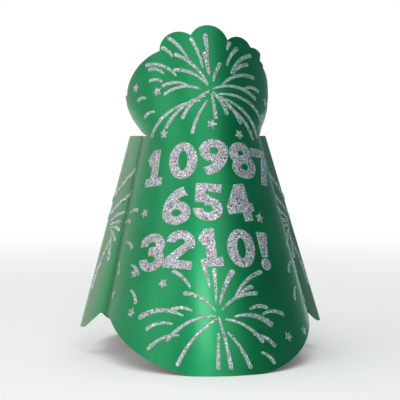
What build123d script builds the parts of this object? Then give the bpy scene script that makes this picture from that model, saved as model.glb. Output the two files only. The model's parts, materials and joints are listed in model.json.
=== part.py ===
from build123d import *
import math
import os

os.makedirs("parts", exist_ok=True)

# A cone party hat made of foil-faced card. It packs flat on two side creases and is
# pushed open by the head, so its front and back bulge and an ear stands out along each
# crease. Millimetres, +Z up, the front faces -Y, and the hem rests on z = 0.

# Driving sizes of the opened card, taken on its outer face at the height of the notches.
dome_radius = 74.0         # the rounded front and the rounded back
dome_half_angle = 92.0     # half of the arc that each rounded side covers
valley_radius = 6.4        # the hollow between a rounded side and an ear
ear_width = 14.0           # from a rounded side's widest point out to its crease
ear_reach = dome_radius + ear_width
crease_depth = 19.0        # the creases behind the centre of the front arc
notch_height = 30.0        # the hem beside the ears, above the table
ear_drop = 11.0            # how far each ear's tip hangs below the notches
apex_height = 344.0        # the point where the straight lines of the cone would meet
apex_depth = 58.0          # how far that point lies behind the centre of the front arc
top_edge_height = 159.0    # the cut top edge of the ears and of the back
hem_flat_margin = 4.0      # depth of hem, front and back, before it starts to climb
hem_slope_run = 67.0       # depth over which the hem climbs to the notches
hem_blend_radius = 12.0    # rounds the start of the climb
notch_blend_radius = 10.0

# The crest is the front card that stands up above the top edge.
# Its stations are (rise above that edge, gain in radius of the curved card).
crest_stations = [(0.0, 0.0), (6.0, 2.8), (12.0, 6.4), (20.0, 9.8), (30.0, 12.0), (52.0, 13.6), (90.0, 18.0)]
crest_cheek_share = 0.8        # radius of its two round cheeks, as a share of the neck's radius
crest_cheek_offset = 20.0
crest_cheek_shift = 1.0        # the outline's middle, to the right of the hat's
crest_cheek_rise = 30.0        # their centres above the top edge; the card is uncut below them
crest_lobes = [(-18.0, 62.5, 14.0), (3.5, 66.5, 15.0), (26.0, 61.5, 12.0), (38.0, 55.0, 11.0)]
# Its free side edges, as (rise, depth behind the neck's creases).
crest_edge_foot = (0.0, -23.5)
crest_edge_bulge = (21.0, 2.0)
crest_edge_top = (56.5, -9.0)
crest_edge_lean = 0.6          # how fast the lobes may run back above that, for each unit of rise

# Plies and overlaps.
board_thickness = 0.45
foil_thickness = 0.12
glitter_thickness = 0.35
glue_thickness = 0.06
glue_flap_width = 12.0
glue_margin = 0.6
seam_step = 3.0                # width of the step where the flap leaves the panel

# Glitter artwork.
art_reach = 9.0                # depth of the cutters that carry artwork onto the card
ray_root_width = 0.9
ray_tip_width = 2.3
ray_bow = 0.12                 # arch of a level ray, as a share of its length
numeral_height = 27.0
numeral_width = 20.5
numeral_stroke = 6.6
star_radius = 3.7
star_waist = 0.46

# Rays are (direction in degrees, start, end, boldness) round a firework's centre, which is
# given as (length along the section from its middle, height).
crown_centre = (2.5, 194.5)
crown_rays = [
    (135, 2, 35, 1),
    (153, 2, 29, 1),
    (178, 16, 35, 1),
    (188, 8, 34, 1),
    (216, 14, 58, 1),
    (221, 8, 44, 1),
    (227, 3, 31, 1),
    (246, 10, 37, 1),
    (274, 4, 23, 1),
    (297, 3, 22, 1),
    (308, 6, 33, 1),
    (311, 15, 49, 1),
    (318, 7, 52, 1),
    (333, 8, 50, 1),
    (349, 2, 38, 1),
    (12, 8, 39, 1),
    (357, 27, 43, 1),
    (28, 20, 37, 1),
    (33, 18, 45, 1),
    (50, 20, 38, 1),
    (62, 31, 37, 1),
    (92, 23, 38, 1.5),
    (64, 4, 19, 1),
    (96, 8, 25, 1.5),
    (109, 14, 38, 1),
    (129, 20, 47, 1),
    (140, 34, 45, 1),
    (161, 25, 52, 1),
    (164, 35, 48, 1),
    (174, 36, 46, 1),
    (189, 52, 60, 1),
    (202, 48, 58, 1),
]
hem_centre = (-4.5, 40.5)
hem_rays = [
    (150, 1, 25, 1),
    (65, 4, 29, 1.5),
    (91, 5, 28, 1),
    (22, 3, 31, 1),
    (36, 15, 43, 1),
    (31, 18, 30, 1),
    (355, 33, 51, 1),
    (2, 23, 36, 1),
    (346, 12, 39, 1.5),
    (326, 7, 36, 1),
    (329, 29, 46, 1),
    (298, 14, 41, 1),
    (280, 2, 37, 1),
    (318, 40, 51, 1),
    (231, 4, 44, 1),
    (267, 13, 36, 1),
    (185, 24, 56, 1.5),
    (194, 33, 52, 1),
    (207, 32, 55, 1),
    (208, 3, 39, 1),
    (138, 22, 39, 1),
    (104, 16, 30, 1),
    (178, 17, 31, 1),
]

# The side fireworks sit on the creases. Their rays are (direction, start, end) in from the
# crease, and their trails end at (length along the section, height).
ear_burst_height = 92.0
ear_burst_inset = 0.8
ear_rays = [(81, 5, 44), (66, 6, 26), (45, 5, 15), (18, 3, 11), (-10, 4, 12), (-40, 3, 15), (-63, 6, 27), (-80, 4, 46)]
ear_trails = [(66, 106), (76, 97), (70, 80), (62, 63), (64, 44), (84, 118), (88, 60)]
ear_trail_length = 11.0

# Numerals are (sign, length along the section, height, tilt); stars are (length, height).
top_row = [("1", -45, 136, 8), ("0", -21.5, 141.5, 4), ("9", 1, 144, -3), ("8", 23.5, 141.5, 4), ("7", 46, 136, -9)]
middle_row = [("6", -28.5, 110, 7), ("5", -5.5, 113, -4), ("4", 17.5, 112, 5)]
bottom_row = [("3", -50, 78, 9), ("2", -28, 81, -3), ("1", -6, 82.5, 4), ("0", 16, 81.5, -4), ("!", 35, 78.5, -8)]
star_places = [
    (-59, 194),
    (-38, 191),
    (1, 167.5),
    (-35.5, 160.5),
    (22.5, 160),
    (58, 184),
    (54, 173),
    (-56, 104),
    (34, 101),
    (-67, 63),
    (-41.5, 58),
    (-70, 37),
    (-97, 46),
    (50, 21),
    (72, 22),
    (90, 41),
]
star_turn = 25.0               # each star is turned this much from the last

hat_cut = 400.0                # larger than the hat, for cutters
below_hem = 6.0                # spare length below the table before the hem is cut


def taper(height):
    """Size of the cone at a height, as a share of its size at the notches."""
    return (apex_height - height) / (apex_height - notch_height)


# The origin is midway between the creases where the hem rests on the table.
hem_middle = apex_depth * (1 - taper(0)) + crease_depth * taper(0)


def axis_depth(height):
    """Depth of the centre of the front arc at a height."""
    return apex_depth * (1 - taper(height)) - hem_middle


def crease_line(height):
    """Depth of the two creases at a height."""
    return axis_depth(height) + crease_depth * taper(height)


def front_line(height):
    """Depth of the straight line that runs up the middle of the front."""
    return axis_depth(height) - dome_radius * taper(height)


neck_radius = dome_radius * taper(top_edge_height)
crest_cheek_radius = neck_radius * crest_cheek_share

# The half section is an arc, a small reversed arc and a straight flank to the crease.
half_angle = math.radians(dome_half_angle)
valley_centre = Vector(math.sin(half_angle), -math.cos(half_angle)) * (dome_radius + valley_radius)
crease_point = Vector(ear_reach, crease_depth)
to_valley = valley_centre - crease_point
flank_length = math.sqrt(to_valley.length**2 - valley_radius**2)
flank_turn = math.asin(valley_radius / to_valley.length)
flank_angle = math.atan2(to_valley.Y, to_valley.X) % (2 * math.pi) - flank_turn
flank_inward = Vector(math.cos(flank_angle), math.sin(flank_angle))
flank_outward = Vector(-flank_inward.Y, flank_inward.X)
flank_start = crease_point + flank_inward * flank_length
valley_end = (flank_start - valley_centre).normalized()
valley_begin = Vector(-math.sin(half_angle), math.cos(half_angle))
valley_middle = (valley_begin + valley_end).normalized()
valley_length = valley_radius * math.radians(valley_begin.get_angle(valley_end))
dome_length = dome_radius * half_angle


def half_section(height, offset):
    """Key points of the right half of the front section, offset outwards from the card's face."""
    size = taper(height)
    hollow = valley_radius * size - offset
    centre = valley_centre * size
    flank_foot = centre + valley_end * hollow
    crease_y = crease_depth * size
    run = (crease_y - flank_foot.Y) / -flank_inward.Y
    return {
        "crease": flank_foot - flank_inward * run,
        "flank_foot": flank_foot,
        "valley": centre + valley_middle * hollow,
        "dome_end": Vector(math.sin(half_angle), -math.cos(half_angle)) * (dome_radius * size + offset),
        "front": Vector(0, -(dome_radius * size + offset)),
    }


def draw_section(height, inner, outer, back):
    """Closed outline of a card between two offsets, for the front or, turned over, for the back."""
    flip = -1 if back else 1
    middle = crease_line(height)
    shift = axis_depth(height)

    def place(point, side):
        return (side * point.X, middle + flip * (point.Y + shift - middle))

    ends = []
    for offset in (outer, inner):
        mark = half_section(height, offset)
        right = {name: place(point, 1) for name, point in mark.items()}
        left = {name: place(point, -1) for name, point in mark.items()}
        Line(right["crease"], right["flank_foot"])
        ThreePointArc(right["flank_foot"], right["valley"], right["dome_end"])
        ThreePointArc(right["dome_end"], right["front"], left["dome_end"])
        ThreePointArc(left["dome_end"], left["valley"], left["flank_foot"])
        Line(left["flank_foot"], left["crease"])
        ends.append((right["crease"], left["crease"]))
    Line(ends[0][0], ends[1][0])
    Line(ends[0][1], ends[1][1])


def crest_radius(rise):
    """Radius of the crest's curved card at a rise above the top edge."""
    for (low, low_gain), (high, high_gain) in zip(crest_stations, crest_stations[1:]):
        if rise <= high:
            break
    share = (rise - low) / (high - low)
    return neck_radius + low_gain + (high_gain - low_gain) * share


def draw_crest_section(rise, inner, outer):
    """Closed outline of the crest's card at a rise above the top edge."""
    radius = crest_radius(rise)
    centre = front_line(top_edge_height + rise) + radius
    ends = []
    for reach in (radius + outer, radius + inner):
        side = reach * math.sin(half_angle)
        depth = centre - reach * math.cos(half_angle)
        ThreePointArc((side, depth), (0, centre - reach), (-side, depth))
        ends.append(((side, depth), (-side, depth)))
    Line(ends[0][0], ends[1][0])
    Line(ends[0][1], ends[1][1])


# ---- cutters ----------------------------------------------------------------------

# The hem: flat on the table at front and back, climbing to the notches, with ears that hang.
hem_front = front_line(0) + hem_flat_margin
hem_back = 2 * crease_line(0) - hem_front
with BuildPart() as hem_cutter:
    with BuildSketch(Plane.YZ):
        with BuildLine():
            climb = FilletPolyline(
                (hem_front - hat_cut, 0),
                (hem_front, 0),
                (hem_front + hem_slope_run, notch_height),
                (hem_back - hem_slope_run, notch_height),
                (hem_back, 0),
                (hem_back + hat_cut, 0),
                radius=[hem_blend_radius, notch_blend_radius, notch_blend_radius, hem_blend_radius],
            )
            Polyline(
                climb @ 1,
                (hem_back + hat_cut, -hat_cut),
                (hem_front - hat_cut, -hat_cut),
                climb @ 0,
            )
        make_face()
    extrude(amount=hat_cut, both=True)
    ear_inside = dome_radius + valley_radius / 2
    ear_tip = notch_height - ear_drop
    with BuildSketch(Plane.XZ):
        with BuildLine():
            Polyline(
                (-ear_reach, ear_tip),
                (-ear_inside, notch_height),
                (ear_inside, notch_height),
                (ear_reach, ear_tip),
                (hat_cut, ear_tip),
                (hat_cut, -hat_cut),
                (-hat_cut, -hat_cut),
                (-hat_cut, ear_tip),
                close=True,
            )
        make_face()
    extrude(amount=hat_cut, both=True, mode=Mode.INTERSECT)

# The crest's outline: two round cheeks with four lobes along the top.
crest_middle = top_edge_height + crest_cheek_rise
with BuildPart() as crest_outline:
    with BuildSketch(Plane.XZ):
        with Locations((crest_cheek_shift, crest_middle)):
            SlotCenterToCenter(2 * crest_cheek_offset, 2 * crest_cheek_radius)
        with Locations((0, top_edge_height)):
            Rectangle(4 * crest_cheek_radius, 2 * crest_cheek_rise)
        for lobe_x, lobe_rise, lobe_radius in crest_lobes:
            with Locations((lobe_x, top_edge_height + lobe_rise)):
                Circle(lobe_radius)
    extrude(amount=hat_cut, both=True)
    with BuildSketch(Plane.YZ):
        neck = crease_line(top_edge_height)
        with BuildLine():
            foot, bulge, top = [
                (neck + depth, top_edge_height + rise)
                for rise, depth in (crest_edge_foot, crest_edge_bulge, crest_edge_top)
            ]
            ThreePointArc(foot, bulge, top)
            Polyline(
                top,
                (top[0] + crest_edge_lean * hat_cut, top[1] + hat_cut),
                (-hat_cut, top[1] + hat_cut),
                (-hat_cut, foot[1]),
                foot,
            )
        make_face()
    extrude(amount=hat_cut, both=True, mode=Mode.INTERSECT)


# ---- sheets -----------------------------------------------------------------------

def front_sheet(inner, outer):
    """The front of the hat, with the crest, between two offsets from the card's face."""
    with BuildPart() as sheet:
        for (low, _), (high, _) in zip(crest_stations, crest_stations[1:]):
            for station in (low, high):
                with BuildSketch(Plane.XY.offset(top_edge_height + station)):
                    with BuildLine():
                        draw_crest_section(station, inner, outer)
                    make_face()
            loft(ruled=True)
        add(crest_outline.part, mode=Mode.INTERSECT)
        for height in (-below_hem, top_edge_height):
            with BuildSketch(Plane.XY.offset(height)):
                with BuildLine():
                    draw_section(height, inner, outer, back=False)
                make_face()
        loft(ruled=True)
        add(hem_cutter.part, mode=Mode.SUBTRACT)
    return sheet


def back_sheet(inner, outer):
    """The whole back of the hat between two offsets from the card's face."""
    with BuildPart() as sheet:
        for height in (-below_hem, top_edge_height):
            with BuildSketch(Plane.XY.offset(height)):
                with BuildLine():
                    draw_section(height, inner, outer, back=True)
                make_face()
        loft(ruled=True)
        add(hem_cutter.part, mode=Mode.SUBTRACT)
    return sheet


# ---- card, foil and glue -----------------------------------------------------------

flap_face = -board_thickness - glue_thickness

front_board = front_sheet(-board_thickness, 0)
front_foil = front_sheet(0, foil_thickness)
back_board = back_sheet(-board_thickness, 0)
back_foil = back_sheet(0, foil_thickness)
flap_layer = back_sheet(flap_face - board_thickness, flap_face)
glue_layer = back_sheet(flap_face, -board_thickness)


def slab(start, end):
    """A block that covers the hat between two planes across X, behind its creases."""
    with BuildPart() as block:
        with BuildSketch(Plane.YZ.offset(start)):
            with Locations((hat_cut / 2, 0)):
                Rectangle(hat_cut, 2 * hat_cut)
        extrude(amount=end - start)
    return block.part


with BuildPart() as back_left_board:
    add(back_board.part)
    add(slab(-hat_cut, 0), mode=Mode.INTERSECT)

# The right back panel carries the glue flap, which steps in under the left panel.
with BuildPart() as glue_flap:
    add(flap_layer.part)
    add(slab(-glue_flap_width, seam_step), mode=Mode.INTERSECT)
with BuildPart() as seam_riser:
    add(glue_layer.part)
    add(slab(0, seam_step), mode=Mode.INTERSECT)
with BuildPart() as back_right_board:
    add(back_board.part)
    add(slab(0, hat_cut), mode=Mode.INTERSECT)
    add(seam_riser.part)
    add(glue_flap.part)

with BuildPart() as seam_glue:
    add(glue_layer.part)
    add(slab(glue_margin - glue_flap_width, 0), mode=Mode.INTERSECT)

with BuildPart() as back_left_foil:
    add(back_foil.part)
    add(slab(-hat_cut, 0), mode=Mode.INTERSECT)

with BuildPart() as back_right_foil:
    add(back_foil.part)
    add(slab(0, hat_cut), mode=Mode.INTERSECT)


# ---- glitter artwork ---------------------------------------------------------------

def section_place(along, height):
    """Point and outward direction in the section, at a length along it from its middle."""
    side = -1 if along < 0 else 1
    if height > top_edge_height:
        radius = crest_radius(height - top_edge_height)
        angle = along / radius
        centre = Vector(0, front_line(height) + radius)
        outward = Vector(math.sin(angle), -math.cos(angle))
        return centre + outward * radius, outward
    size = taper(height)
    run = abs(along) / size
    if run <= dome_length:
        outward = Vector(math.sin(run / dome_radius), -math.cos(run / dome_radius))
        point = outward * dome_radius
    elif run <= dome_length + valley_length:
        turn = math.degrees((run - dome_length) / valley_radius)
        inward = valley_begin.rotate(Axis.Z, -turn)
        point = valley_centre + inward * valley_radius
        outward = inward * -1
    else:
        point = flank_start - flank_inward * (run - dome_length - valley_length)
        outward = flank_outward
    point = point * size + Vector(0, axis_depth(height))
    return Vector(side * point.X, point.Y), Vector(side * outward.X, outward.Y)


def card_plane(along, height, tilt=0, back=False):
    """Plane that touches the card at a length along its section and a height."""
    step = 0.5
    low, outward = section_place(along, height - step)
    high = section_place(along * taper(height + step) / taper(height - step), height + step)[0]
    point = section_place(along, height)[0]
    rise = Vector(high.X - low.X, high.Y - low.Y, 2 * step)
    across = Vector(-outward.Y, outward.X)
    facing = across.cross(rise).normalized()
    origin = Vector(point.X, point.Y, height)
    if back:
        middle = crease_line(height)
        origin = Vector(origin.X, 2 * middle - origin.Y, height)
        facing = Vector(facing.X, -facing.Y, facing.Z)
        across = Vector(-across.X, across.Y)
    across = across.rotate(Axis((0, 0, 0), tuple(facing)), tilt)
    return Plane(origin, x_dir=across, z_dir=facing)


def draw_star():
    """A five-pointed star."""
    points = []
    for corner in range(10):
        reach = star_radius if corner % 2 == 0 else star_radius * star_waist
        angle = math.radians(90 + 36 * corner)
        points.append((reach * math.cos(angle), reach * math.sin(angle)))
    Polyline(*points, close=True)


def draw_ray(length, root, tip, bow):
    """A spark trail along X: thin at its root, broad and round at its tip, arched by bow."""
    half = length / 2
    middle = (root + tip) / 4
    ThreePointArc((-half, root / 2), (0, bow + middle), (half, tip / 2))
    ThreePointArc((half, tip / 2), (half + tip / 2, 0), (half, -tip / 2))
    ThreePointArc((half, -tip / 2), (0, bow - middle), (-half, -root / 2))
    Line((-half, -root / 2), (-half, root / 2))


def draw_ring(width, height, middle):
    """An elliptical loop of one stroke, centred above the origin by middle."""
    with Locations((0, middle)):
        Ellipse(width / 2, height / 2)
        Ellipse(width / 2 - numeral_stroke, height / 2 - numeral_bar, mode=Mode.SUBTRACT)


def draw_block(left, bottom, right, top, mode=Mode.ADD):
    """An upright rectangle between four edges."""
    with Locations(((left + right) / 2, (bottom + top) / 2)):
        Rectangle(right - left, top - bottom, mode=mode)


def draw_polygon(*points):
    """A filled polygon."""
    with BuildSketch(mode=Mode.PRIVATE) as shape:
        with BuildLine():
            Polyline(*points, close=True)
        make_face()
    add(shape.sketch)


# Numerals fill numeral_width by numeral_height around the origin.
numeral_bar = numeral_stroke * 0.85
half_wide = numeral_width / 2
half_tall = numeral_height / 2
bowl_height = numeral_height * 0.58 + numeral_bar / 4


def draw_numeral(sign):
    """One plain block numeral, or the exclamation mark."""
    stroke = numeral_stroke
    bowl_middle = bowl_height / 2 - half_tall
    crown_middle = half_tall - bowl_height / 2
    if sign == "0":
        draw_ring(numeral_width, numeral_height, 0)
    elif sign == "1":
        draw_block(-stroke / 2, -half_tall, stroke / 2, half_tall)
        draw_block(-half_wide * 0.75, -half_tall, half_wide * 0.75, numeral_bar - half_tall)
        draw_polygon(
            (stroke / 2, half_tall),
            (-stroke / 2, half_tall),
            (-half_wide * 0.8, half_tall - stroke),
            (-half_wide * 0.45, half_tall - 1.8 * stroke),
            (stroke / 2, half_tall - stroke),
        )
    elif sign == "2":
        draw_ring(numeral_width, bowl_height, crown_middle)
        draw_block(-half_wide, -half_tall, 0, crown_middle, mode=Mode.SUBTRACT)
        draw_block(-half_wide, -half_tall, half_wide, crown_middle - stroke / 2, mode=Mode.SUBTRACT)
        draw_polygon(
            (half_wide, crown_middle),
            (half_wide - stroke, crown_middle),
            (-half_wide, numeral_bar - half_tall),
            (-half_wide, -half_tall),
            (half_wide, -half_tall),
            (half_wide, numeral_bar - half_tall),
            (half_wide - 1.8 * stroke, numeral_bar - half_tall),
        )
    elif sign == "3":
        draw_ring(numeral_width, bowl_height, crown_middle)
        draw_ring(numeral_width, bowl_height, bowl_middle)
        draw_block(-half_wide, bowl_middle, -stroke / 3, crown_middle, mode=Mode.SUBTRACT)
    elif sign == "4":
        stem = half_wide - 1.45 * stroke
        beam = -half_tall * 0.5
        draw_block(stem, -half_tall, stem + stroke, half_tall)
        draw_block(-half_wide, beam, half_wide, beam + numeral_bar)
        draw_polygon(
            (stem + stroke, half_tall),
            (stem - stroke * 0.2, half_tall),
            (-half_wide, beam + numeral_bar),
            (-half_wide, beam),
            (stroke - half_wide, beam + numeral_bar),
            (stem + stroke, half_tall - stroke * 1.3),
        )
    elif sign == "5":
        draw_ring(numeral_width, bowl_height, bowl_middle)
        draw_block(-half_wide, bowl_middle, -stroke / 3, 0, mode=Mode.SUBTRACT)
        draw_block(-half_wide * 0.9, 0, stroke - half_wide * 0.9, half_tall)
        draw_block(-half_wide * 0.9, half_tall - numeral_bar, half_wide * 0.85, half_tall)
        draw_block(-half_wide * 0.9, 0, 0, numeral_bar)
    elif sign == "7":
        draw_block(-half_wide, half_tall - numeral_bar, half_wide, half_tall)
        draw_polygon(
            (half_wide, half_tall),
            (half_wide - 1.3 * stroke, half_tall - numeral_bar),
            (-half_wide * 0.7, -half_tall),
            (stroke * 1.1 - half_wide * 0.7, -half_tall),
            (half_wide, half_tall - numeral_bar),
        )
    elif sign == "8":
        draw_ring(numeral_width * 0.92, bowl_height, crown_middle)
        draw_ring(numeral_width, bowl_height, bowl_middle)
    elif sign in "69":
        with BuildSketch(mode=Mode.PRIVATE) as six:
            draw_ring(numeral_width, bowl_height, bowl_middle)
            with BuildLine():
                spine = ThreePointArc(
                    (-half_wide, bowl_middle),
                    (-half_wide * 0.65, half_tall * 0.45),
                    (half_wide * 0.5, half_tall),
                )
                Line(spine @ 1, (half_wide * 0.75, half_tall - numeral_bar))
                hook = ThreePointArc(
                    (half_wide * 0.75, half_tall - numeral_bar),
                    (stroke - half_wide * 0.75, half_tall * 0.2),
                    (stroke - half_wide, bowl_middle),
                )
                Line(hook @ 1, spine @ 0)
            make_face()
        add(six.sketch, rotation=0 if sign == "6" else 180)
    elif sign == "!":
        draw_polygon(
            (-stroke * 0.7, half_tall),
            (stroke * 0.7, half_tall),
            (stroke * 0.4, -half_tall * 0.3),
            (-stroke * 0.4, -half_tall * 0.3),
        )
        with Locations((0, stroke * 0.6 - half_tall)):
            Circle(stroke * 0.6)


# A piece of artwork is cut through the glitter's layer, square to the card where it lies.
glitter_face = foil_thickness + glitter_thickness
front_glitter = front_sheet(foil_thickness, glitter_face)
back_glitter = back_sheet(foil_thickness, glitter_face)


def half_run(height):
    """Length along the section from its middle to a crease."""
    return (dome_length + valley_length + flank_length) * taper(height)


def spread(centre, rays):
    """Start, end and boldness of rays given as (direction, start, end, boldness) round a centre."""
    trails = []
    for direction, start, end, boldness in rays:
        heading = math.radians(direction)
        ends = [
            (centre[0] + reach * math.cos(heading), centre[1] + reach * math.sin(heading))
            for reach in (start, end)
        ]
        trails.append((ends[0], ends[1], boldness))
    return trails


def ear_spread(side):
    """Rays of a side firework on one ear, measured in from its crease, and trails beyond."""
    trails = []
    for direction, start, end in ear_rays:
        heading = math.radians(direction)
        ends = []
        for reach in (start, end):
            height = ear_burst_height + reach * math.sin(heading)
            inset = ear_burst_inset + reach * math.cos(heading)
            ends.append((side * (half_run(height) - inset), height))
        trails.append((ends[0], ends[1], 1))
    for far, height in ear_trails:
        reach = math.hypot(half_run(ear_burst_height) - far, height - ear_burst_height)
        share = ear_trail_length / reach
        near = far + (half_run(ear_burst_height) - far) * share
        near_height = height + (ear_burst_height - height) * share
        trails.append(((side * near, near_height), (side * far, height), 1))
    return trails


def cut_rays(trails, sheet, back=False):
    """Rays cut through a layer of glitter."""
    with BuildPart() as work:
        for (start_along, start_height), (end_along, end_height), boldness in trails:
            across = end_along - start_along
            rise = end_height - start_height
            length = math.hypot(across, rise)
            heading = math.degrees(math.atan2(rise, across))
            along = (start_along + end_along) / 2
            height = (start_height + end_height) / 2
            turn = 180 - heading if back else heading
            with BuildSketch(card_plane(along, height, turn, back)):
                with BuildLine():
                    draw_ray(length, ray_root_width, ray_tip_width * boldness, ray_bow * across)
                make_face()
            extrude(amount=art_reach, both=True)
        add(sheet.part, mode=Mode.INTERSECT)
    return work


def cut_numerals(row):
    """A row of numerals given as (sign, length along the section, height, tilt)."""
    with BuildPart() as work:
        for sign, along, height, tilt in row:
            with BuildSketch(card_plane(along, height, tilt)):
                draw_numeral(sign)
            extrude(amount=art_reach, both=True)
        add(front_glitter.part, mode=Mode.INTERSECT)
    return work


crown_burst = cut_rays(spread(crown_centre, crown_rays), front_glitter)
hem_burst = cut_rays(spread(hem_centre, hem_rays), front_glitter)
left_burst_front = cut_rays(ear_spread(-1), front_glitter)
right_burst_front = cut_rays(ear_spread(1), front_glitter)
left_burst_back = cut_rays(ear_spread(-1), back_glitter, back=True)
right_burst_back = cut_rays(ear_spread(1), back_glitter, back=True)
numerals_top = cut_numerals(top_row)
numerals_middle = cut_numerals(middle_row)
numerals_bottom = cut_numerals(bottom_row)

with BuildPart() as glitter_stars:
    for number, (along, height) in enumerate(star_places):
        with BuildSketch(card_plane(along, height, star_turn * number)):
            with BuildLine():
                draw_star()
            make_face()
        extrude(amount=art_reach, both=True)
    add(front_glitter.part, mode=Mode.INTERSECT)


# ---- hand over -----------------------------------------------------------------------

pieces = {
    "front_board": front_board,
    "back_left_board": back_left_board,
    "back_right_board": back_right_board,
    "seam_glue": seam_glue,
    "front_foil": front_foil,
    "back_left_foil": back_left_foil,
    "back_right_foil": back_right_foil,
    "crown_burst_glitter": crown_burst,
    "hem_burst_glitter": hem_burst,
    "left_burst_front_glitter": left_burst_front,
    "left_burst_back_glitter": left_burst_back,
    "right_burst_front_glitter": right_burst_front,
    "right_burst_back_glitter": right_burst_back,
    "numerals_top_glitter": numerals_top,
    "numerals_middle_glitter": numerals_middle,
    "numerals_bottom_glitter": numerals_bottom,
    "star_glitter": glitter_stars,
}
for name, piece in pieces.items():
    piece.part.label = name
    export_step(piece.part, f"parts/{name}.step")
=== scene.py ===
import json
import math
import random

import bmesh
import bpy
from mathutils import Matrix, Vector
from mathutils.bvhtree import BVHTree

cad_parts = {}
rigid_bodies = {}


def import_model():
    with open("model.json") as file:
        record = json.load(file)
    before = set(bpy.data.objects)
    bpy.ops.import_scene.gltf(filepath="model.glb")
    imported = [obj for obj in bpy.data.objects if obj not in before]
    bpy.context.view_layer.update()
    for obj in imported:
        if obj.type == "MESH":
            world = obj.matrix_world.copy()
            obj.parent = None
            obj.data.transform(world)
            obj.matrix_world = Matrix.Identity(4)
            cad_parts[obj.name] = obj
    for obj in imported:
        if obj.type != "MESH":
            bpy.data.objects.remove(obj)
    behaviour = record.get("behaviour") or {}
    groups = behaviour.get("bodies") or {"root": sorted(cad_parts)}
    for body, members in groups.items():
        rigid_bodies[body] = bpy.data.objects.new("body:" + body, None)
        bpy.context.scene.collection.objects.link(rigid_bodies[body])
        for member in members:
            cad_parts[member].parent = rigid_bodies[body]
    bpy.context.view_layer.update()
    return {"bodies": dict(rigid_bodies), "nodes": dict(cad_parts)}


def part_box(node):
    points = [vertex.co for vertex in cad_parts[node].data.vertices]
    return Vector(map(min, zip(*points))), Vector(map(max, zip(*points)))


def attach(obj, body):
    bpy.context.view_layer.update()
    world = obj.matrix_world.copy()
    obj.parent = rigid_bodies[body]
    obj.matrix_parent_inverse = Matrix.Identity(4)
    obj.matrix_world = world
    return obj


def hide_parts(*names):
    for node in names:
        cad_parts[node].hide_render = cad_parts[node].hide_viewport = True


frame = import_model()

body = next(iter(frame["bodies"]))
glitterNodes = sorted(name for name in frame["nodes"] if name.endswith("_glitter"))
foilNodes = sorted(name for name in frame["nodes"] if name.endswith("_foil"))
boardNodes = sorted(name for name in frame["nodes"] if name.endswith("_board"))


# small helpers

def addNode(tree, kind, **values):
    node = tree.nodes.new(kind)
    for name, value in values.items():
        if hasattr(node, name):
            setattr(node, name, value)
        else:
            node.inputs[name.replace("_", " ")].default_value = value
    return node


def setInputs(node, values):
    for name, value in values.items():
        node.inputs[name].default_value = value


def setSpan(node, low, high):
    setInputs(node, {"To Min": low, "To Max": high})


def newMaterial(name, values):
    material = bpy.data.materials.new(name)
    material.use_nodes = True
    shader = material.node_tree.nodes["Principled BSDF"]
    setInputs(shader, values)
    return material, material.node_tree, shader


def newGroup(name, inputs, outputs):
    group = bpy.data.node_groups.new(name, "ShaderNodeTree")
    for label, kind, start in inputs:
        socket = group.interface.new_socket(label, in_out="INPUT", socket_type=kind)
        socket.default_value = start
    for label, kind in outputs:
        group.interface.new_socket(label, in_out="OUTPUT", socket_type=kind)
    return group, group.nodes.new("NodeGroupInput"), group.nodes.new("NodeGroupOutput")


def useGroup(tree, group, values):
    node = tree.nodes.new("ShaderNodeGroup")
    node.node_tree = group
    setInputs(node, values)
    return node


def setRamp(ramp, stops, smooth=True):
    ramp.color_ramp.interpolation = "LINEAR" if smooth else "CONSTANT"
    elements = ramp.color_ramp.elements
    while len(elements) > 1:
        elements.remove(elements[-1])
    elements[0].position, elements[0].color = stops[0][0], (*stops[0][1], 1)
    for place, colour in stops[1:]:
        elements.new(place).color = (*colour, 1)


def paint(piece, material):
    piece.data.materials.clear()
    piece.data.materials.append(material)


def finishPiece(name, mesh, material):
    piece = bpy.data.objects.new(name, mesh)
    bpy.context.scene.collection.objects.link(piece)
    paint(piece, material)
    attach(piece, body)
    return piece


# effects that more than one material uses

def makeGrainGroup():
    # mottled grain: a fine height and a soft patchy mask, both on the object's own coordinates
    group, entry, result = newGroup(
        "surfaceGrain",
        [
            ("Fineness", "NodeSocketFloat", 500.0),
            ("Patches", "NodeSocketFloat", 40.0),
            ("Stretch", "NodeSocketVector", (1, 1, 1)),
        ],
        [("Height", "NodeSocketFloat"), ("Mask", "NodeSocketFloat")],
    )
    place = addNode(group, "ShaderNodeTexCoord")
    stretch = addNode(group, "ShaderNodeVectorMath", operation="MULTIPLY")
    fine = addNode(group, "ShaderNodeTexNoise", Detail=3.0, Roughness=0.55)
    patches = addNode(group, "ShaderNodeTexNoise", Detail=4.0, Roughness=0.6)
    link = group.links.new
    link(place.outputs["Object"], stretch.inputs[0])
    link(entry.outputs["Stretch"], stretch.inputs[1])
    link(stretch.outputs[0], fine.inputs["Vector"])
    link(place.outputs["Object"], patches.inputs["Vector"])
    link(entry.outputs["Fineness"], fine.inputs["Scale"])
    link(entry.outputs["Patches"], patches.inputs["Scale"])
    link(fine.outputs["Fac"], result.inputs["Height"])
    link(patches.outputs["Fac"], result.inputs["Mask"])
    return group


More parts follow.
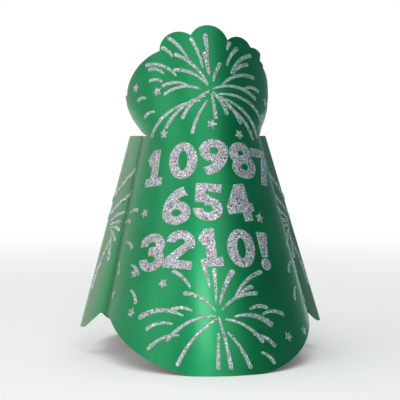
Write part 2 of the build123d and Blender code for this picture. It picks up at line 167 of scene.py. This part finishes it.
def makeSparkleGroup():
    # flakes of glitter: each cell has its own tint, roughness and lean
    group, entry, result = newGroup(
        "flakeSparkle",
        [("Fineness", "NodeSocketFloat", 1400.0), ("Lean", "NodeSocketFloat", 0.8)],
        [("Color", "NodeSocketColor"), ("Roughness", "NodeSocketFloat"), ("Normal", "NodeSocketVector")],
    )
    place = addNode(group, "ShaderNodeTexCoord")
    surface = addNode(group, "ShaderNodeNewGeometry")
    cells = addNode(group, "ShaderNodeTexVoronoi", feature="F1")
    parts = addNode(group, "ShaderNodeSeparateColor")
    tint = addNode(group, "ShaderNodeValToRGB")
    setRamp(tint, glitterLook["tints"], smooth=False)
    rough = addNode(group, "ShaderNodeMapRange")
    setSpan(rough, *glitterLook["roughness"])
    centre = addNode(group, "ShaderNodeVectorMath", operation="SUBTRACT")
    centre.inputs[1].default_value = (0.5, 0.5, 0.5)
    lean = addNode(group, "ShaderNodeVectorMath", operation="SCALE")
    total = addNode(group, "ShaderNodeVectorMath", operation="ADD")
    unit = addNode(group, "ShaderNodeVectorMath", operation="NORMALIZE")
    link = group.links.new
    link(place.outputs["Object"], cells.inputs["Vector"])
    link(entry.outputs["Fineness"], cells.inputs["Scale"])
    link(cells.outputs["Color"], parts.inputs["Color"])
    link(parts.outputs["Red"], tint.inputs["Fac"])
    link(parts.outputs["Green"], rough.inputs["Value"])
    link(cells.outputs["Color"], centre.inputs[0])
    link(centre.outputs[0], lean.inputs[0])
    link(entry.outputs["Lean"], lean.inputs["Scale"])
    link(surface.outputs["Normal"], total.inputs[0])
    link(lean.outputs[0], total.inputs[1])
    link(total.outputs[0], unit.inputs[0])
    link(tint.outputs["Color"], result.inputs["Color"])
    link(rough.outputs["Result"], result.inputs["Roughness"])
    link(unit.outputs[0], result.inputs["Normal"])
    return group


def addBump(tree, shader, height, depth, after=None):
    bump = addNode(tree, "ShaderNodeBump", Strength=1.0, Distance=depth)
    tree.links.new(height, bump.inputs["Height"])
    if after:
        tree.links.new(after.outputs["Normal"], bump.inputs["Normal"])
    tree.links.new(bump.outputs["Normal"], shader.inputs["Normal"])
    return bump


glitterLook = {
    "tints": [
        (0.0, (0.52, 0.51, 0.55)),
        (0.36, (0.72, 0.72, 0.75)),
        (0.56, (0.33, 0.32, 0.35)),
        (0.72, (0.68, 0.5, 0.6)),
        (0.81, (0.44, 0.64, 0.7)),
        (0.89, (0.12, 0.12, 0.14)),
        (0.96, (0.95, 0.95, 0.95)),
    ],
    "roughness": (0.18, 0.5),
    "shader": {"Metallic": 0.85},
    "layer": {"Fineness": 1500.0, "Lean": 0.9},
    "looseFlakes": {"Fineness": 900.0, "Lean": 0.25},
}
grainGroup = makeGrainGroup()
sparkleGroup = makeSparkleGroup()


def makeMottledMaterial(name, look):
    # two tints in soft patches, with the roughness and the bump taken from the same grain
    material, tree, shader = newMaterial(name, look["shader"])
    grain = useGroup(tree, grainGroup, look["grain"])
    shade = addNode(tree, "ShaderNodeValToRGB")
    setRamp(shade, look["tints"])
    rough = addNode(tree, "ShaderNodeMapRange")
    setSpan(rough, *look["roughness"])
    link = tree.links.new
    link(grain.outputs["Mask"], shade.inputs["Fac"])
    link(shade.outputs["Color"], shader.inputs["Base Color"])
    link(grain.outputs[look["roughFrom"]], rough.inputs["Value"])
    link(rough.outputs["Result"], shader.inputs["Roughness"])
    addBump(tree, shader, grain.outputs["Height"], look["depth"])
    return material


# green metallised film on the card's outer face

foilLook = {
    "colour": (0.008, 0.31, 0.105),
    "deepColour": (0.003, 0.25, 0.088),
    "wornColour": (0.35, 0.62, 0.45),
    "roughness": (0.33, 0.45),
    "shader": {"Metallic": 1.0, "Coat Weight": 0.45, "Coat Roughness": 0.2, "Coat IOR": 1.5},
    "peel": {"Fineness": 620.0, "Patches": 26.0},
    "peelDepth": 0.00002,           # orange peel pressed in by the board
    "wave": {"Fineness": 17.0, "Patches": 90.0, "Stretch": (1, 1, 0.45)},
    "waveDepth": 0.0006,            # slow waves of the card
    "creaseAtTable": 0.09636,       # half width between the creases at the table
    "creaseSlope": 0.28,            # how fast the creases close in as they rise
    "creaseWear": 0.0011,           # width of the stressed film along a crease
    "paleReflectionAndHazeColour": (0.3, 0.38, 0.27),
    "paleReflectionAndHazeWidth": 0.015,             # the ears' film is painted pale this far in from a crease: partly rubbed haze, partly a painted reflection of the bright surroundings
    "paleReflectionAndHazeAmount": 0.72,
    "earMargin": 0.001,             # the painted pale reflection, the haze and the wear end this far above the ears' cut top edge
}


def makeFoilMaterial():
    look = foilLook
    material, tree, shader = newMaterial("greenFilm", look["shader"])
    link = tree.links.new
    peel = useGroup(tree, grainGroup, look["peel"])
    wave = useGroup(tree, grainGroup, look["wave"])
    shade = addNode(tree, "ShaderNodeValToRGB")
    setRamp(shade, [(0.35, look["deepColour"]), (0.65, look["colour"])])
    link(peel.outputs["Mask"], shade.inputs["Fac"])

    # distance in from the crease: the creases are straight lines that close in as they rise
    place = addNode(tree, "ShaderNodeTexCoord")
    axes = addNode(tree, "ShaderNodeSeparateXYZ")
    side = addNode(tree, "ShaderNodeMath", operation="ABSOLUTE")
    rise = addNode(tree, "ShaderNodeMath", operation="MULTIPLY_ADD")
    rise.inputs[1].default_value = look["creaseSlope"]
    inset = addNode(tree, "ShaderNodeMath", operation="SUBTRACT")
    inset.inputs[0].default_value = look["creaseAtTable"]
    wear = addNode(tree, "ShaderNodeMapRange", interpolation_type="SMOOTHSTEP")
    setInputs(wear, {"From Min": look["creaseWear"], "From Max": 0.0})
    broken = addNode(tree, "ShaderNodeMath", operation="MULTIPLY", use_clamp=True)
    link(place.outputs["Object"], axes.inputs[0])
    link(axes.outputs["X"], side.inputs[0])
    link(axes.outputs["Z"], rise.inputs[0])
    link(side.outputs[0], rise.inputs[2])
    link(rise.outputs[0], inset.inputs[1])
    link(inset.outputs[0], wear.inputs["Value"])
    link(wear.outputs["Result"], broken.inputs[0])
    link(wave.outputs["Mask"], broken.inputs[1])
    # paints the ears pale near each crease: partly rubbed haze, partly a painted reflection of the bright
    # surroundings
    paleReflectionAndHaze = addNode(tree, "ShaderNodeMapRange", interpolation_type="SMOOTHSTEP")
    setInputs(paleReflectionAndHaze, {"From Min": look["paleReflectionAndHazeWidth"], "From Max": 0.0, "To Max": look["paleReflectionAndHazeAmount"]})
    onEar = addNode(tree, "ShaderNodeMath", operation="LESS_THAN")
    onEar.inputs[1].default_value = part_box("back_left_board")[1].z + look["earMargin"]
    link(inset.outputs[0], paleReflectionAndHaze.inputs["Value"])
    link(axes.outputs["Z"], onEar.inputs[0])
    colour = shade.outputs["Color"]
    layers = [(paleReflectionAndHaze.outputs["Result"], look["paleReflectionAndHazeColour"]), (broken.outputs[0], look["wornColour"])]
    for mask, over in layers:
        below = addNode(tree, "ShaderNodeMath", operation="MULTIPLY")
        mix = addNode(tree, "ShaderNodeMix", data_type="RGBA")
        mix.inputs[7].default_value = (*over, 1)
        link(mask, below.inputs[0])
        link(onEar.outputs[0], below.inputs[1])
        link(below.outputs[0], mix.inputs[0])
        link(colour, mix.inputs[6])
        colour = mix.outputs[2]
    link(colour, shader.inputs["Base Color"])

    rough = addNode(tree, "ShaderNodeMapRange")
    setSpan(rough, *look["roughness"])
    link(peel.outputs["Mask"], rough.inputs["Value"])
    link(rough.outputs["Result"], shader.inputs["Roughness"])
    slow = addBump(tree, shader, wave.outputs["Height"], look["waveDepth"])
    addBump(tree, shader, peel.outputs["Height"], look["peelDepth"], after=slow)
    return material


# bare brown-grey board, seen inside and along every cut edge

boardLook = {
    "shader": {"Specular IOR Level": 0.25},
    "grain": {"Fineness": 900.0, "Patches": 160.0, "Stretch": (1, 1, 0.25)},
    "tints": [(0.3, (0.13, 0.092, 0.055)), (0.7, (0.27, 0.19, 0.115))],
    "roughness": (0.75, 0.95),
    "roughFrom": "Height",
    "depth": 0.00006,               # fibres
}


# dried white glue in the back seam

glueLook = {
    "shader": {"Specular IOR Level": 0.5},
    "grain": {"Fineness": 300.0, "Patches": 70.0},
    "tints": [(0.35, (0.5, 0.44, 0.32)), (0.65, (0.8, 0.77, 0.66))],
    "roughness": (0.3, 0.6),
    "roughFrom": "Mask",
    "depth": 0.00005,               # lumps
}


# clear binder that runs out past the flakes and shows the film through it; its tints are paler than the
# film, a painted highlight along each rim

binderHighlightLook = {
    "shader": {"Metallic": 0.35, "Coat Weight": 0.6, "Coat Roughness": 0.15},
    "grain": {"Fineness": 900.0, "Patches": 300.0},
    # pale green: the film seen through the binder, lightened as a painted highlight along each rim
    "tints": [(0.35, (0.1, 0.42, 0.22)), (0.65, (0.24, 0.6, 0.36))],
    "roughness": (0.2, 0.45),
    "roughFrom": "Height",
    "depth": 0.00003,               # lumps
}


# silver glitter, as one layer and as loose flakes

def makeGlitterMaterial(name, sparkleValues):
    material, tree, shader = newMaterial(name, glitterLook["shader"])
    sparkle = useGroup(tree, sparkleGroup, sparkleValues)
    tree.links.new(sparkle.outputs["Color"], shader.inputs["Base Color"])
    tree.links.new(sparkle.outputs["Roughness"], shader.inputs["Roughness"])
    tree.links.new(sparkle.outputs["Normal"], shader.inputs["Normal"])
    return material


foilMaterial = makeFoilMaterial()
boardMaterial = makeMottledMaterial("bareBoard", boardLook)
glueMaterial = makeMottledMaterial("driedGlue", glueLook)
binderHighlightMaterial = makeMottledMaterial("binderWithPaintedHighlight", binderHighlightLook)
glitterMaterial = makeGlitterMaterial("silverGlitter", glitterLook["layer"])
flakeMaterial = makeGlitterMaterial("looseFlakes", glitterLook["looseFlakes"])
print("materials made")


# card nodes keep their CAD shape; the film gets a copy with joined, smooth faces

for name in boardNodes:
    paint(frame["nodes"][name], boardMaterial)
paint(frame["nodes"]["seam_glue"], glueMaterial)
for name in glitterNodes:
    paint(frame["nodes"][name], glitterMaterial)

filmShape = {
    "weld": 0.000002,
    "sharpAngle": math.radians(32),
    "outward": 0.7,                 # a face looks outward if its normal is this close to the film's
}


def smoothFilm(node):
    shape = bmesh.new()
    shape.from_mesh(frame["nodes"][node].data)
    bmesh.ops.remove_doubles(shape, verts=shape.verts, dist=filmShape["weld"])
    for face in shape.faces:
        face.smooth = True
    for edge in shape.edges:
        if len(edge.link_faces) == 2:
            edge.smooth = edge.calc_face_angle() < filmShape["sharpAngle"]
    mesh = bpy.data.meshes.new(node + "_film")
    shape.to_mesh(mesh)
    shape.free()
    return mesh


for name in foilNodes:
    film = finishPiece(name.replace("_foil", "_film"), smoothFilm(name), foilMaterial)
    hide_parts(name)
print("film made")


# the raised glitter: loose flakes on top, and binder that creeps out round each shape

flakeSettings = {
    "radius": (0.00026, 0.00052),
    "oval": (0.7, 1),               # width as a share of length
    "thickness": 0.00004,
    "sides": 6,
    "perSquareMetre": 1.5e6,
    "lift": 0.00007,
    "lean": 0.55,                   # the most that a flake leans, in radians
    "stray": 0.0004,                # how far a flake may lie outside its shape
    "firstSeed": 40,
}
binderSettings = {"width": 0.0005, "foot": 0.00004, "wall": 0.00003}


def filmTree():
    shape = bmesh.new()
    for name in foilNodes:
        shape.from_mesh(frame["nodes"][name].data)
    tree = BVHTree.FromBMesh(shape)
    shape.free()
    return tree


filmSurface = filmTree()


def outerFaces(node):
    # the faces of a glitter layer that look away from the film under them
    shape = bmesh.new()
    shape.from_mesh(frame["nodes"][node].data)
    bmesh.ops.remove_doubles(shape, verts=shape.verts, dist=filmShape["weld"])
    shape.normal_update()
    inner = []
    for face in shape.faces:
        facing = filmSurface.find_nearest(face.calc_center_median())[1]
        if face.normal.dot(facing) < filmShape["outward"]:
            inner.append(face)
    bmesh.ops.delete(shape, geom=inner, context="FACES")
    return shape


def flakeTemplate():
    settings = flakeSettings
    shape = bmesh.new()
    bmesh.ops.create_circle(shape, cap_ends=True, segments=settings["sides"], radius=1)
    raised = bmesh.ops.extrude_face_region(shape, geom=shape.faces[:])
    upper = [item for item in raised["geom"] if isinstance(item, bmesh.types.BMVert)]
    bmesh.ops.translate(shape, verts=upper, vec=(0, 0, 1))
    bmesh.ops.recalc_face_normals(shape, faces=shape.faces)
    mesh = bpy.data.meshes.new("flakeTemplate")
    shape.to_mesh(mesh)
    shape.free()
    return mesh


def pointOn(face, chance):
    a, b, c = [vert.co for vert in face.verts]
    u, v = chance.random(), chance.random()
    if u + v > 1:
        u, v = 1 - u, 1 - v
    return a + (b - a) * u + (c - a) * v


def scatterFlakes(node, seed):
    settings = flakeSettings
    chance = random.Random(seed)
    surface = outerFaces(node)
    bmesh.ops.triangulate(surface, faces=surface.faces)
    faces = surface.faces[:]
    areas = [face.calc_area() for face in faces]
    count = round(sum(areas) * settings["perSquareMetre"])
    shape = bmesh.new()
    for face in chance.choices(faces, weights=areas, k=count):
        normal = face.normal
        slide = Vector([chance.uniform(-1, 1) for _ in range(3)]) * settings["stray"]
        place = pointOn(face, chance) + slide - normal * slide.dot(normal) + normal * settings["lift"]
        axis = Vector([chance.gauss(0, 1) for _ in range(3)]).normalized()
        lean = Matrix.Rotation(chance.uniform(0, settings["lean"]), 4, axis)
        turn = normal.to_track_quat("Z", "Y").to_matrix().to_4x4()
        spin = Matrix.Rotation(chance.uniform(0, math.tau), 4, "Z")
        radius = chance.uniform(*settings["radius"])
        width = radius * chance.uniform(*settings["oval"])
        size = Matrix.Diagonal((radius, width, settings["thickness"], 1))
        before = len(shape.verts)
        shape.from_mesh(flakeMesh)
        shape.verts.ensure_lookup_table()
        fresh = shape.verts[before:]
        bmesh.ops.transform(shape, matrix=Matrix.Translation(place) @ lean @ turn @ spin @ size, verts=fresh)
    mesh = bpy.data.meshes.new(node + "_flakes")
    shape.to_mesh(mesh)
    shape.free()
    surface.free()
    return mesh, count


def makeBinderRim(node):
    settings = binderSettings
    shape = outerFaces(node)
    rim = [edge for edge in shape.edges if edge.is_boundary]
    outward = {}
    for edge in rim:
        loop = edge.link_loops[0]
        along = (loop.link_loop_next.vert.co - loop.vert.co).normalized()
        away = along.cross(loop.face.normal).normalized()
        for vert in edge.verts:
            outward[vert] = outward.get(vert, Vector()) + away
    top = shape.faces[:]
    grown = bmesh.ops.extrude_edge_only(shape, edges=rim)["geom"]
    skirt = [item for item in grown if isinstance(item, bmesh.types.BMFace)]
    feet = [item for item in grown if isinstance(item, bmesh.types.BMVert)]
    for vert in feet:
        source = next(edge.other_vert(vert) for edge in vert.link_edges if edge.other_vert(vert) in outward)
        target = source.co + outward[source].normalized() * settings["width"]
        below, facing, _, _ = filmSurface.find_nearest(target)
        vert.co = below + facing * settings["foot"]
    bmesh.ops.delete(shape, geom=top, context="FACES")
    bmesh.ops.recalc_face_normals(shape, faces=skirt)
    for face in skirt:
        facing = filmSurface.find_nearest(face.calc_center_median())[1]
        if face.normal.dot(facing) < 0:
            face.normal_flip()
    for face in shape.faces:
        face.smooth = True
    mesh = bpy.data.meshes.new(node + "_binder")
    shape.to_mesh(mesh)
    shape.free()
    return mesh


def thicken(piece, wall):
    solid = piece.modifiers.new("wall", "SOLIDIFY")
    solid.thickness = wall
    solid.offset = -1


flakeMesh = flakeTemplate()
for number, name in enumerate(glitterNodes):
    flakes, count = scatterFlakes(name, flakeSettings["firstSeed"] + number)
    finishPiece(name.replace("_glitter", "_flakes"), flakes, flakeMaterial)
    rim = makeBinderRim(name)
    binder = finishPiece(name.replace("_glitter", "_binder"), rim, binderHighlightMaterial)
    thicken(binder, binderSettings["wall"])
    print(name, "flakes", count)


# floor, light and camera

stageSettings = {
    "floorSize": 6.0,
    "floor": {"Base Color": (0.94, 0.94, 0.94, 1), "Roughness": 0.9},
    "floorFade": (0.3, 1.1),        # the floor turns into the white sweep between these distances
    "skyLeft": (0.76, 0.75, 0.74),  # the studio is bright to the left, and dim and cool to the right
    "skyRight": (0.13, 0.22, 0.25),
    "skyTurn": (0.2, 0.6),          # where it changes, by how far right a direction points
    "backdrop": {"Color": (1, 1, 1, 1)},
    "lampAim": (0, 0, 0.11),
}
lampSettings = {
    "left": {"place": (-1.7, -0.8, 0.9), "size": (1.2, 1.4), "power": 3},
    "front": {"place": (0.12, -1.7, 1.75), "size": (1.6, 1.0), "power": 3},
    "top": {"place": (0.1, 0.3, 1.9), "size": (1.4, 1.4), "power": 10},
    # a glow low on the front
    "near": {"place": (-0.07, -0.34, 0.24), "size": (0.09, 0.06), "power": 0.12},
}
cameraSettings = {"aim": (-0.0013, 0.0047, 0.1112), "place": (-0.1496, -0.8621, 0.1602), "lens": 106.2}


def makeFloor():
    shape = bmesh.new()
    bmesh.ops.create_grid(shape, x_segments=2, y_segments=2, size=stageSettings["floorSize"] / 2)
    mesh = bpy.data.meshes.new("floor")
    shape.to_mesh(mesh)
    shape.free()
    floor = bpy.data.objects.new("floor", mesh)
    bpy.context.scene.collection.objects.link(floor)
    material, tree, shader = newMaterial("paleFloor", stageSettings["floor"])
    sweep = addNode(tree, "ShaderNodeEmission")
    place = addNode(tree, "ShaderNodeTexCoord")
    reach = addNode(tree, "ShaderNodeVectorMath", operation="LENGTH")
    fade = addNode(tree, "ShaderNodeMapRange", interpolation_type="SMOOTHSTEP")
    near, far = stageSettings["floorFade"]
    setInputs(fade, {"From Min": near, "From Max": far})
    mix = addNode(tree, "ShaderNodeMixShader")
    link = tree.links.new
    link(place.outputs["Object"], reach.inputs[0])
    link(reach.outputs["Value"], fade.inputs["Value"])
    link(fade.outputs["Result"], mix.inputs[0])
    link(shader.outputs[0], mix.inputs[1])
    link(sweep.outputs[0], mix.inputs[2])
    link(mix.outputs[0], tree.nodes["Material Output"].inputs["Surface"])
    paint(floor, material)


def makeLamp(name, place, size, power):
    data = bpy.data.lights.new(name, "AREA")
    data.shape = "RECTANGLE"
    data.size, data.size_y = size
    data.energy = power
    lamp = bpy.data.objects.new(name, data)
    bpy.context.scene.collection.objects.link(lamp)
    lamp.visible_camera = False
    lamp.location = place
    facing = Vector(stageSettings["lampAim"]) - Vector(place)
    lamp.rotation_euler = facing.to_track_quat("-Z", "Y").to_euler()


def makeSky():
    world = bpy.data.worlds.new("sky")
    world.use_nodes = True
    tree = world.node_tree
    sky = tree.nodes["Background"]
    backdrop = addNode(tree, "ShaderNodeBackground")
    setInputs(backdrop, stageSettings["backdrop"])
    ray = addNode(tree, "ShaderNodeLightPath")
    mix = addNode(tree, "ShaderNodeMixShader")
    place = addNode(tree, "ShaderNodeTexCoord")
    axes = addNode(tree, "ShaderNodeSeparateXYZ")
    shade = addNode(tree, "ShaderNodeValToRGB")
    start, end = stageSettings["skyTurn"]
    setRamp(shade, [(start, stageSettings["skyLeft"]), (end, stageSettings["skyRight"])])
    link = tree.links.new
    link(place.outputs["Generated"], axes.inputs[0])
    link(axes.outputs["X"], shade.inputs["Fac"])
    link(shade.outputs["Color"], sky.inputs["Color"])
    link(ray.outputs["Is Camera Ray"], mix.inputs[0])
    link(sky.outputs[0], mix.inputs[1])
    link(backdrop.outputs[0], mix.inputs[2])
    link(mix.outputs[0], tree.nodes["World Output"].inputs["Surface"])
    bpy.context.scene.world = world


def makeCamera():
    data = bpy.data.cameras.new("camera")
    data.lens = cameraSettings["lens"]
    camera = bpy.data.objects.new("camera", data)
    bpy.context.scene.collection.objects.link(camera)
    camera.location = cameraSettings["place"]
    facing = Vector(cameraSettings["aim"]) - Vector(cameraSettings["place"])
    camera.rotation_euler = facing.to_track_quat("-Z", "Y").to_euler()
    bpy.context.scene.camera = camera


makeFloor()
for name, lamp in lampSettings.items():
    makeLamp(name, lamp["place"], lamp["size"], lamp["power"])
makeSky()
makeCamera()
bpy.context.scene.view_settings.view_transform = "Standard"
print("stage set")
